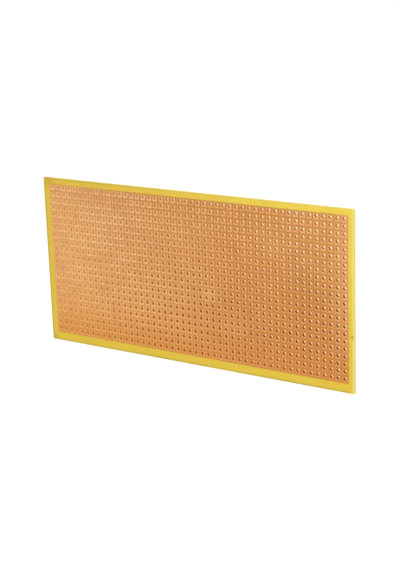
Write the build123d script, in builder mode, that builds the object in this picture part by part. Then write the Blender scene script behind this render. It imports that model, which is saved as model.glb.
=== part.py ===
from build123d import *
import os

# A prototype board: one sheet of yellow glass-epoxy laminate, etched on one side into a field of
# separate square copper pads and then drilled right through every pad. Sizes are in millimetres.
# The board lies copper side up with its long side along X, and the origin is the centre of the
# rectangle that it stands on.

# The pad field, on the standard spacing of component leads
pitch = 2.54
columns = 48
rows = 22
pad_gap = 0.62  # bare laminate left between two neighbouring pads
foil_thickness = 0.035

# The sheet, which reaches past the centres of the outer pads by a different width on each side
laminate_thickness = 1.0
left_margin = 4.0
right_margin = 3.4
near_margin = 4.5
far_margin = 3.5

# The drilling, which follows the etching and missed the pads' centres by a little, all one way
hole_diameter = 1.1
drill_drift = 0.25

field_length = (columns - 1) * pitch
field_width = (rows - 1) * pitch
board_length = left_margin + field_length + right_margin
board_width = near_margin + field_width + far_margin
field_x = (left_margin - right_margin) / 2
field_y = (near_margin - far_margin) / 2
pad_side = pitch - pad_gap

os.makedirs("parts", exist_ok=True)

# The laminate is cut square to size, with no chamfer and no mounting hole
with BuildPart() as laminate:
    with BuildSketch():
        Rectangle(board_length, board_width)
        with Locations((field_x, field_y + drill_drift)):
            with GridLocations(pitch, pitch, columns, rows):
                Circle(hole_diameter / 2, mode=Mode.SUBTRACT)
    # Nothing here can merge, so the clean-up that compares every face with every other is left out
    extrude(amount=laminate_thickness, clean=False)
laminate.part.label = "laminate"
export_step(laminate.part, "parts/laminate.step")

# Each row of pads is one run of foil islands, bonded to the laminate and drilled with it
for row in range(rows):
    row_y = field_y - field_width / 2 + row * pitch
    with BuildPart() as pad_row:
        with BuildSketch(Plane((field_x, row_y, laminate_thickness))):
            with GridLocations(pitch, pitch, columns, 1):
                Rectangle(pad_side, pad_side)
            with Locations((0, drill_drift)):
                with GridLocations(pitch, pitch, columns, 1):
                    Circle(hole_diameter / 2, mode=Mode.SUBTRACT)
        extrude(amount=foil_thickness, clean=False)
    pad_row.part.label = f"pad_row_{row + 1:02d}"
    export_step(pad_row.part, f"parts/{pad_row.part.label}.step")
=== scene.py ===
import math

import bpy
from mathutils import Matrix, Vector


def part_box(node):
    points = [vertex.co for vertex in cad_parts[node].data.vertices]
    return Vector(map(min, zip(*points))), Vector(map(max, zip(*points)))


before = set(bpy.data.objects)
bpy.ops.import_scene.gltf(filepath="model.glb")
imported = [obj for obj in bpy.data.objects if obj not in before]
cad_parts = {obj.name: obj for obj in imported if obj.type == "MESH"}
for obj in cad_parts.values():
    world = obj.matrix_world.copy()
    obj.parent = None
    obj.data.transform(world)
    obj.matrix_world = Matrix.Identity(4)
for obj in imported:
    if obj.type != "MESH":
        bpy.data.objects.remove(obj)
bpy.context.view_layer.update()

# The laminate: one sheet of glass cloth in yellow epoxy, pressed to thickness, drilled right
# through on the grid and cut to size. It is bare on the underside and between the pads, where
# the resin is painted darker than along the open edges, as shade from the copper, and every cut
# shows the cloth's fibres. Its colours change over the board with painted light, and the drilled
# walls carry painted shade and a painted glow.
MM = 1e-3
PITCH = 2.54 * MM
COLUMNS, ROWS = 48, 22
FIELD_X, FIELD_Y = 0.3 * MM, 0.5 * MM
HALF_PAD = 0.96 * MM
SHEET_LOW, SHEET_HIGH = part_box("laminate")
HALF_LENGTH = (SHEET_HIGH[0] - SHEET_LOW[0]) / 2
HALF_WIDTH = (SHEET_HIGH[1] - SHEET_LOW[1]) / 2


def tone(*seen):
    """A colour as seen, from 0 to 255, as the shader's own numbers."""
    shares = [level / 255 for level in seen]
    straight = [c / 12.92 if c <= 0.04045 else ((c + 0.055) / 1.055) ** 2.4 for c in shares]
    return (*straight, 1.0)


class Wire:
    """One output of a material's nodes, so that masks and patterns are written as sums."""

    # The sockets of a Mix node that has been set to colours
    COLOUR_A, COLOUR_B, COLOUR_OUT = 6, 7, 2

    def __init__(self, socket):
        self.socket = socket
        self.tree = socket.id_data

    def node(self, kind, settings, inputs, output=0):
        """Adds a node, sets it up, joins its inputs, and gives one of its outputs."""
        made = self.tree.nodes.new(kind)
        for name, value in settings.items():
            setattr(made, name, value)
        for name, value in inputs.items():
            if isinstance(value, Wire):
                self.tree.links.new(value.socket, made.inputs[name])
            else:
                made.inputs[name].default_value = value
        return Wire(made.outputs[output])

    def reckon(self, operation, first, second=0.0):
        return self.node("ShaderNodeMath", {"operation": operation}, {0: first, 1: second})

    def __add__(self, other):
        return self.reckon("ADD", self, other)

    def __sub__(self, other):
        return self.reckon("SUBTRACT", self, other)

    def __rsub__(self, other):
        return self.reckon("SUBTRACT", other, self)

    def __mul__(self, other):
        return self.reckon("MULTIPLY", self, other)

    def __truediv__(self, other):
        return self.reckon("DIVIDE", self, other)

    __radd__ = __add__
    __rmul__ = __mul__

    def __abs__(self):
        return self.reckon("ABSOLUTE", self)

    def power(self, exponent):
        return self.reckon("POWER", self, exponent)

    def sine(self):
        return self.reckon("SINE", self)

    def whole(self):
        return self.reckon("FLOOR", self)

    def fraction(self):
        return self.reckon("FRACT", self)

    def larger(self, other):
        return self.reckon("MAXIMUM", self, other)

    def smaller(self, other):
        return self.reckon("MINIMUM", self, other)

    def fade(self, start, end):
        """0 where the value is at start and 1 where it is at end, smoothly between."""
        return self.node(
            "ShaderNodeMapRange",
            {"interpolation_type": "SMOOTHSTEP"},
            {"Value": self, "From Min": start, "From Max": end},
        )

    def blend(self, under, over):
        """One colour laid over another by this mask."""
        return self.node(
            "ShaderNodeMix",
            {"data_type": "RGBA"},
            {"Factor": self, self.COLOUR_A: under, self.COLOUR_B: over},
            output=self.COLOUR_OUT,
        )

    def cloud(self, size, detail, rough, stretch=(1.0, 1.0, 1.0)):
        """Soft blotches about as wide as size, from 0 to 1, on this place."""
        placed = self.node("ShaderNodeMapping", {}, {"Vector": self, "Scale": stretch})
        return self.node(
            "ShaderNodeTexNoise",
            {},
            {"Vector": placed, "Scale": 1 / size, "Detail": detail, "Roughness": rough},
        )

    def relief(self, strength):
        """A fine relief of the surface, of a height from about 0 to 1."""
        return self.node(
            "ShaderNodeBump",
            {},
            {"Strength": strength, "Distance": 0.02 * MM, "Height": self},
        )


def finish_of(name):
    """A new material, its shader node, and the object's own place as a wire."""
    made = bpy.data.materials.new(name)
    made.use_nodes = True
    shader = made.node_tree.nodes["Principled BSDF"]
    return made, shader, Wire(made.node_tree.nodes.new("ShaderNodeTexCoord").outputs["Object"])


def lay(made, shader, name, wire):
    """Joins a wire to one input of a shader node."""
    made.node_tree.links.new(wire.socket, shader.inputs[name])


def parts_of(wire):
    """The three numbers of a place or a direction."""
    return [wire.node("ShaderNodeSeparateXYZ", {}, {0: wire}, output=i) for i in range(3)]


def cell_place(value, middle, count):
    """How far a point is from the middle of its own cell of the grid, along one side."""
    cells = (value - (middle - count * PITCH / 2)) / PITCH
    return (cells.fraction() - 0.5) * PITCH


def towards(x, y):
    """How far to the right and how far to the near side, both from 0 to 1."""
    return x.fade(-60 * MM, 60 * MM), y.fade(28 * MM, -28 * MM)


def spread(right, near, far_left, far_right, near_left, near_right):
    """A colour that changes over the board, from what it is towards each corner."""
    return near.blend(right.blend(far_left, far_right), right.blend(near_left, near_right))


def spot(x, y, at, radius, soft):
    """A round mark, 1 inside and fading out over soft. Its place and sizes are in millimetres."""
    away = ((x - at[0] * MM).power(2.0) + (y - at[1] * MM).power(2.0)).power(0.5)
    return away.fade((radius + soft) * MM, (radius - soft) * MM)


def painted_sheen(x, y):
    """A painted highlight: the broad pale patch on the left of the board, where it catches the
    light.
    """
    return x.fade(20 * MM, -50 * MM) * abs(y).fade(26 * MM, 4 * MM)


def stain(x, y):
    """The brown stain that fingers left on the right of the field, and smaller ones round it."""
    stained = spot(x, y, (44.0, 2.0), 6.5, 4.5) * 0.75
    for at, radius, soft, depth in (
        ((50.2, -3.0), 1.8, 2.4, 1.0),
        ((43.5, -5.0), 2.2, 3.0, 1.0),
        ((42.0, 12.8), 1.6, 2.0, 1.0),
        ((22.0, 26.0), 3.2, 3.4, 0.55),
        ((18.0, 12.8), 1.4, 1.8, 0.7),
        ((-36.0, 12.5), 1.8, 2.2, 0.4),
        ((-57.5, 13.0), 1.6, 2.6, 0.5),
    ):
        stained = stained.larger(spot(x, y, at, radius, soft) * depth)
    return stained


def polish(x, y):
    """Where the field was rubbed paler: three patches, the left half and the right end."""
    # A spot on a squeezed x is a wide patch, and the place of its middle is squeezed too
    middle = spot(x * 0.7, y, (5.0, -4.3), 2.5, 3.3)
    far = spot(x * 0.7, y, (23.5, 16.0), 3.0, 4.0) * 0.35
    low = spot(x * 0.6, y, (9.5, -14.0), 4.0, 5.0) * 0.35
    left = x.fade(18 * MM, 0.0) * y.fade(29 * MM, 16 * MM) * y.fade(-27 * MM, -14 * MM) * 0.34
    end = x.fade(53 * MM, 61 * MM) * y.fade(-30 * MM, 0.0) * 0.65
    return middle.larger(far).larger(left).larger(end).larger(low)


def ripe(x, y):
    """Where the board has aged to a warmer orange: its far middle, a patch and the near edge."""
    middle = x.fade(-26 * MM, -4 * MM) * x.fade(44 * MM, 28 * MM) * y.fade(-6 * MM, 8 * MM)
    patch = spot(x, y, (38.0, -1.5), 6.0, 5.0) * 1.4
    near_edge = y.fade(-17 * MM, -27 * MM) * 1.2
    return middle.larger(patch).larger(near_edge)


def copper_tone(right, near):
    """The colour of clean copper, which the resin close to it also takes, painted palest at the far
    left and darkest at the near right as light falls.
    """
    return spread(
        right, near,
        tone(242, 187, 126), tone(235, 170, 108),
        tone(235, 170, 86), tone(221, 144, 74),
    )


def resin_between(place, x, y, blotch):
    """The resin between the pads, painted a browner colour as shade from the copper round it."""
    right, near = towards(x, y)
    tint = spread(
        right, near,
        tone(212, 152, 84), tone(206, 140, 50),
        tone(218, 148, 60), tone(205, 131, 38),
    )
    # A painted highlight on the left of the board
    tint = (painted_sheen(x, y) * 0.25).blend(tint, tone(244, 190, 126))

    # It is a deeper brown in the middle of the board, and more so towards the far side
    deep = x.fade(-55 * MM, -10 * MM) * x.fade(55 * MM, 20 * MM) * y.fade(-30 * MM, 20 * MM)
    tint = (deep * 0.75).blend(tint, tone(178, 106, 30))

    # It is duller between two pads than where four meet, and painted shade darkens it there in
    # specks
    u, v = cell_place(x, FIELD_X, COLUMNS), cell_place(y, FIELD_Y, ROWS)
    beside = abs(u).smaller(abs(v)).fade(HALF_PAD + 0.1 * MM, HALF_PAD - 0.25 * MM)
    beside_tint = spread(
        right, near,
        tone(232, 172, 123), tone(206, 144, 102),
        tone(226, 153, 96), tone(192, 114, 70),
    )
    tint = (beside * 0.2).blend(tint, beside_tint)
    crossing_tint = spread(
        right, near,
        tone(200, 134, 38), tone(200, 138, 22),
        tone(210, 134, 24), tone(210, 138, 14),
    )
    tint = ((1.0 - beside) * 0.3).blend(tint, crossing_tint)
    most_beside = 0.35 + beside * 0.65
    speck = place.cloud(1.0 * MM, 2.0, 0.6).fade(0.45, 0.7)
    gap_shade = most_beside * speck * (0.34 + right * 0.2)
    tint = gap_shade.blend(tint, tone(160, 80, 28))

    # The etched foot of each pad reaches a little way out over the resin, and between two feet the
    # resin is painted darkest, as shade between the pads
    foot = abs(u).larger(abs(v)).fade(HALF_PAD + 0.2 * MM, HALF_PAD)
    groove_shade = (1.0 - foot) * most_beside * (0.14 + right * 0.24 + deep * 0.12)
    tint = groove_shade.blend(tint, near.blend(tone(152, 96, 0), tone(160, 82, 0)))
    tint = (foot * (0.15 + right.larger(near) * 0.6)).blend(tint, copper_tone(right, near))

    tint = (blotch.fade(0.35, 0.7) * 0.12).blend(tint, tone(160, 96, 30))
    tint = (stain(x, y) * 0.3).blend(tint, tone(160, 94, 32))
    tint = (ripe(x, y) * 0.35).blend(tint, tone(202, 128, 46))
    return (polish(x, y) * 0.3).blend(tint, tone(255, 196, 132))


def edge_shade_and_light(tint, x, y, edge, uneven_patches):
    """The strip along the cut edges, painted darker from above as shade, but painted pale along the
    right one as its lit side.
    """
    right, near = towards(x, y)
    # Painted shade along the cut edges, uneven, fading out at the right end and partly along the
    # far side
    rim = edge.fade(-1.0 * MM, -0.1 * MM) * (0.6 + uneven_patches * 0.4)
    right_end = x.fade(HALF_LENGTH - 2.5 * MM, HALF_LENGTH - 1.0 * MM)
    far_side = y.fade(HALF_WIDTH - 1.6 * MM, HALF_WIDTH - 1.1 * MM)
    rim = rim * (1.0 - right_end) * (1.0 - far_side * (0.3 + right * 0.7))
    tint = (rim * 0.6).blend(tint, tone(150, 146, 56))
    # Painted light: the right edge is pale, where its lit side shows
    lit_side = x.fade(HALF_LENGTH - 1.1 * MM, HALF_LENGTH - 0.1 * MM)
    return (lit_side * 0.7).blend(tint, tone(239, 229, 132))


def handling_marks(tint, x, y, uneven_patches):
    """Brown smears at both left corners, and two small spots near the right edge."""
    left, side = HALF_LENGTH / MM, HALF_WIDTH / MM
    far_corner = spot(x * 0.7, y, (1.5 - left * 0.7, side - 1.4), 1.3, 1.6)
    near_corner = spot(x, y, (1.0 - left, 1.0 - side), 0.8, 1.6)
    olive = spot(x, y, (62.7, -11.4), 0.5, 0.45)
    small = spot(x, y, (59.1, -10.4), 0.4, 0.4)
    tint = (far_corner * (0.35 + uneven_patches * 0.5)).blend(tint, tone(186, 148, 52))
    tint = (near_corner * (0.35 + uneven_patches * 0.5)).blend(tint, tone(166, 136, 58))
    tint = (olive * 0.75).blend(tint, tone(150, 138, 34))
    return (small * 0.5).blend(tint, tone(120, 80, 40))


def drilled_wall(x, y, layers):
    """The resin in the drilled holes, painted brown as shade inside them, and darkest in painted
    shade at the right.
    """
    tint = spread(
        x.fade(-75 * MM, 10 * MM), y.fade(28 * MM, -20 * MM),
        tone(190, 153, 101), tone(162, 112, 62),
        tone(202, 155, 90), tone(128, 62, 0),
    )
    tint = (y.fade(-12 * MM, -26 * MM) * 0.4).blend(tint, tone(170, 100, 22))
    # Painted shade in the holes towards the right, lighter again towards the near edge
    shaded = x.fade(30 * MM, 55 * MM) * y.fade(12 * MM, 0.0)
    shaded = shaded * (0.6 - y.fade(-12 * MM, -22 * MM) * 0.3)
    tint = shaded.blend(tint, tone(90, 36, 0))
    return (layers.fade(0.3, 0.7) * 0.15).blend(tint, tone(190, 126, 60))


def dress_laminate():
    made, shader, place = finish_of("yellow_laminate")
    x, y = parts_of(place)[:2]
    normal_z = parts_of(place.node("ShaderNodeNewGeometry", {}, {}, output="Normal"))[2]
    wall = abs(normal_z).fade(0.6, 0.4)
    face_up = normal_z.fade(-0.5, 0.5)
    blotch = place.cloud(9.0 * MM, 4.0, 0.55)
    fine = place.cloud(0.6 * MM, 2.0, 0.5)

    # The open strip along the edges, the resin in the pad field, and the bare underside
    right, near = towards(x, y)
    # Painted light: the open strip is palest towards the far right
    strip_tint = spread(
        right, near,
        tone(221, 185, 51), tone(237, 208, 72),
        tone(222, 189, 46), tone(226, 193, 52),
    )
    strip_tint = (blotch.fade(0.3, 0.7) * 0.3).blend(strip_tint, tone(216, 176, 44))
    past_x = abs(x - FIELD_X) - (COLUMNS / 2 * PITCH + 0.1 * MM)
    past_y = abs(y - FIELD_Y) - (ROWS / 2 * PITCH + 0.1 * MM)
    field = past_x.larger(past_y).fade(0.3 * MM, -0.3 * MM)
    top_tint = field.blend(strip_tint, resin_between(place, x, y, blotch))
    under_tint = blotch.fade(0.25, 0.75).blend(tone(220, 188, 66), tone(230, 204, 86))
    face_tint = face_up.blend(under_tint, top_tint)

    # The weave of the glass cloth, seen faintly through the resin
    thread = 0.45 * MM
    turns = 2 * math.pi / thread
    weave = ((x * turns).sine() * (y * turns).sine()) * 0.5 + 0.5
    face_tint = (weave * fine * 0.16).blend(face_tint, tone(250, 232, 150))

    edge = (abs(x) - HALF_LENGTH).larger(abs(y) - HALF_WIDTH)
    uneven_patches = place.cloud(4.0 * MM, 3.0, 0.6).fade(0.25, 0.75)
    face_tint = edge_shade_and_light(face_tint, x, y, edge, uneven_patches)
    face_tint = handling_marks(face_tint, x, y, uneven_patches)

    # Cut walls: pale fibres on the outline, and in the drilled holes resin painted brown as shade
    layers = place.cloud(1.2 * MM, 3.0, 0.6, stretch=(0.35, 0.35, 5.0))
    cut_tint = layers.fade(0.3, 0.7).blend(tone(228, 206, 92), tone(244, 228, 130))
    bore_shade_tint = drilled_wall(x, y, layers)
    outline = edge.fade(-0.4 * MM, -0.1 * MM)
    lay(made, shader, "Base Color", wall.blend(face_tint, outline.blend(bore_shade_tint, cut_tint)))

    # Painted glow: the drilled walls emit a little light in their own colour, which stands in for
    # light that comes through the sheet
    glow = (wall * (1.0 - outline)).blend(tone(0, 0, 0), bore_shade_tint)
    lay(made, shader, "Emission Color", glow)
    shader.inputs["Emission Strength"].default_value = 0.5

    lay(made, shader, "Roughness", 0.42 + fine * 0.12 + wall * 0.25)
    height = weave * 0.35 + fine * 0.4 + layers * wall * 1.2
    lay(made, shader, "Normal", height.relief(0.35))
    shader.inputs["Specular IOR Level"].default_value = 0.3
    return made


def dress(node, finish):
    """Puts a finish on one CAD node."""
    for slot in bpy.data.objects[node].material_slots:
        slot.material = finish


dress("laminate", dress_laminate())

# The pads: squares of copper foil, bonded to the sheet, etched apart and drilled with it, a
# little off their middles. They are left bare, so each has tarnished and been rubbed in its
# own way, and a painted highlight stands for the small burr the drill raised round each hole.
DRILL_DRIFT = 0.25 * MM
HOLE_RADIUS = 0.55 * MM


def dress_copper():
    made, shader, place = finish_of("bare_copper")
    x, y = parts_of(place)[:2]
    right, near = towards(x, y)

    # Every pad has its own tone, and broad clouds of tarnish run across them all
    column = ((x - (FIELD_X - COLUMNS * PITCH / 2)) / PITCH).whole()
    line = ((y - (FIELD_Y - ROWS * PITCH / 2)) / PITCH).whole()
    seat = place.node("ShaderNodeCombineXYZ", {}, {"X": column, "Y": line})
    own = place.node("ShaderNodeTexWhiteNoise", {}, {"Vector": seat})
    broad = place.cloud(16.0 * MM, 3.0, 0.5)
    middling = place.cloud(3.2 * MM, 3.0, 0.6)
    grain = place.cloud(0.25 * MM, 2.0, 0.6)
    tarnish = broad.fade(0.3, 0.7) * 0.5 + middling.fade(0.25, 0.75) * 0.6 + own * 0.8 - 0.45
    # Painted light over the board, and a painted highlight on the left of it
    tint = copper_tone(right, near)
    tint = (painted_sheen(x, y) * 0.3).blend(tint, tone(252, 208, 150))
    tint = (tarnish * 0.45).blend(tint, tone(204, 128, 66))
    tint = (stain(x, y) * 0.4).blend(tint, tone(184, 106, 46))
    tint = (ripe(x, y) * 0.35).blend(tint, tone(224, 146, 68))
    tint = (polish(x, y) * 0.38).blend(tint, tone(255, 198, 134))

    # Painted shade darkens the rim of each pad in specks along the gaps, and the lip of each hole
    # is darker, more so to the right
    u = cell_place(x, FIELD_X, COLUMNS)
    v = cell_place(y, FIELD_Y, ROWS)
    rim = abs(u).larger(abs(v)).fade(HALF_PAD - 0.12 * MM, HALF_PAD)
    speck = place.cloud(1.0 * MM, 2.0, 0.6).fade(0.4, 0.7)
    tint = (rim * (0.05 + speck * 0.4)).blend(tint, tone(186, 112, 54))
    hole_v = v - DRILL_DRIFT
    radius = (u * u + hole_v * hole_v).power(0.5)
    lip = radius.fade(HOLE_RADIUS + 0.18 * MM, HOLE_RADIUS)
    tint = (lip * (0.3 + x.fade(0.0, 60 * MM) * 0.25)).blend(tint, tone(166, 94, 44))

    # Painted highlight: the burr catches the light on its far right side
    facing_light = ((u * 0.8 + hole_v * 0.6) / radius).fade(0.45, 0.95)
    burr_highlight = radius.fade(HOLE_RADIUS + 0.22 * MM, HOLE_RADIUS + 0.06 * MM) * facing_light
    tint = (burr_highlight * x.fade(-30 * MM, 50 * MM)).blend(tint, tone(255, 212, 148))
    tint = (grain.fade(0.35, 0.75) * 0.18).blend(tint, tone(252, 208, 160))
    lay(made, shader, "Base Color", tint)

    lay(made, shader, "Roughness", 0.46 + tarnish * 0.14 + grain * 0.08)
    shader.inputs["Metallic"].default_value = 0.55
    height = rim * -0.7 + grain * 0.35 + middling * 0.3
    lay(made, shader, "Normal", height.relief(0.4))
    return made


bare_copper = dress_copper()
for row in range(1, ROWS + 1):
    dress(f"pad_row_{row:02d}", bare_copper)

# The floor: a plain white table top, cut from one flat sheet. To the camera it is as white as
# the sky, apart from the board's soft shadow, and the holes show it through the board, where
# its colour under the board is painted shadow and painted light.
bpy.ops.object.select_all(action="DESELECT")
bpy.ops.mesh.primitive_plane_add(size=4.0, location=(0, 0, 0))
floor = bpy.context.object
floor.name = "floor"
bpy.ops.object.mode_set(mode="EDIT")
bpy.ops.mesh.select_all(action="SELECT")
bpy.ops.mesh.subdivide(number_cuts=3)
bpy.ops.object.mode_set(mode="OBJECT")


def seen_straight(wire):
    """1 for the camera and for what shines or shows through, 0 for light that falls on things."""
    path = wire.tree.nodes.new("ShaderNodeLightPath")
    seen = Wire(path.outputs["Is Camera Ray"])
    for name in ("Is Glossy Ray", "Is Transmission Ray"):
        seen = seen.larger(Wire(path.outputs[name]))
    return seen


def dress_table():
    made, shader, place = finish_of("table_white")
    x, y = parts_of(place)[:2]

    # Under the board the table is painted: a brown painted shadow towards the near left, and cream
    # painted light towards the far right
    under = (abs(x) - HALF_LENGTH).larger(abs(y) - HALF_WIDTH).fade(0.2 * MM, -0.2 * MM)
    lit = y.fade(30 * MM, -30 * MM).blend(tone(255, 232, 180), tone(255, 208, 128))
    to_far_right = (x + y * 0.8).fade(-45 * MM, 35 * MM)
    under_tint = to_far_right.blend(tone(196, 138, 82), lit)

    # Seen straight, it glows white by itself, and only a little of the board's shadow darkens it
    seen = seen_straight(place)
    pale_grey, dark_grey = (0.8, 0.8, 0.8, 1.0), (0.16, 0.16, 0.16, 1.0)
    lay(made, shader, "Base Color", seen.blend(pale_grey, dark_grey))
    glow = seen.blend(tone(0, 0, 0), under.blend(tone(255, 255, 255), under_tint))
    lay(made, shader, "Emission Color", glow)
    shader.inputs["Emission Strength"].default_value = 0.92
    shader.inputs["Roughness"].default_value = 0.9
    return made


floor.data.materials.append(dress_table())

# The light: an even white sky, and one broad soft lamp high on the far right. What looks at
# the sky straight sees it white, and what it falls on gets a little less than that.
SKY_LIGHT = 0.76
WHITE = (1.0, 1.0, 1.0, 1.0)

sky = bpy.data.worlds.new("sky")
bpy.context.scene.world = sky
sky.use_nodes = True
sky_light = sky.node_tree.nodes["Background"]
sky_light.inputs["Color"].default_value = WHITE
sky_light.inputs["Strength"].default_value = SKY_LIGHT
falling = Wire(sky_light.outputs[0])
shown = falling.node("ShaderNodeBackground", {}, {"Color": WHITE})
sky_mix = falling.node("ShaderNodeMixShader", {}, {0: seen_straight(falling), 1: falling, 2: shown})
lay(sky, sky.node_tree.nodes["World Output"], "Surface", sky_mix)

lamp_data = bpy.data.lights.new("soft_lamp", "AREA")
lamp_data.size = 0.7
lamp_data.energy = 5.0
lamp = bpy.data.objects.new("soft_lamp", lamp_data)
bpy.context.collection.objects.link(lamp)
lamp.location = (0.55, 0.6, 0.8)
lamp.rotation_euler = (math.radians(-37), math.radians(35), 0)

# The camera: a long lens, above the board and off to its far right, turned a little so that
# the board lies in the frame as in the photograph.
camera_data = bpy.data.cameras.new("camera")
camera_data.lens = 87.936
camera_data.clip_start, camera_data.clip_end = 0.01, 10.0
camera = bpy.data.objects.new("camera", camera_data)
bpy.context.collection.objects.link(camera)
camera.location = (0.265286, 0.12546, 0.379013)
camera.rotation_euler = [math.radians(turn) for turn in (-16.7236, 34.1098, -2.2894)]
bpy.context.scene.camera = camera
bpy.context.scene.view_settings.view_transform = "Standard"
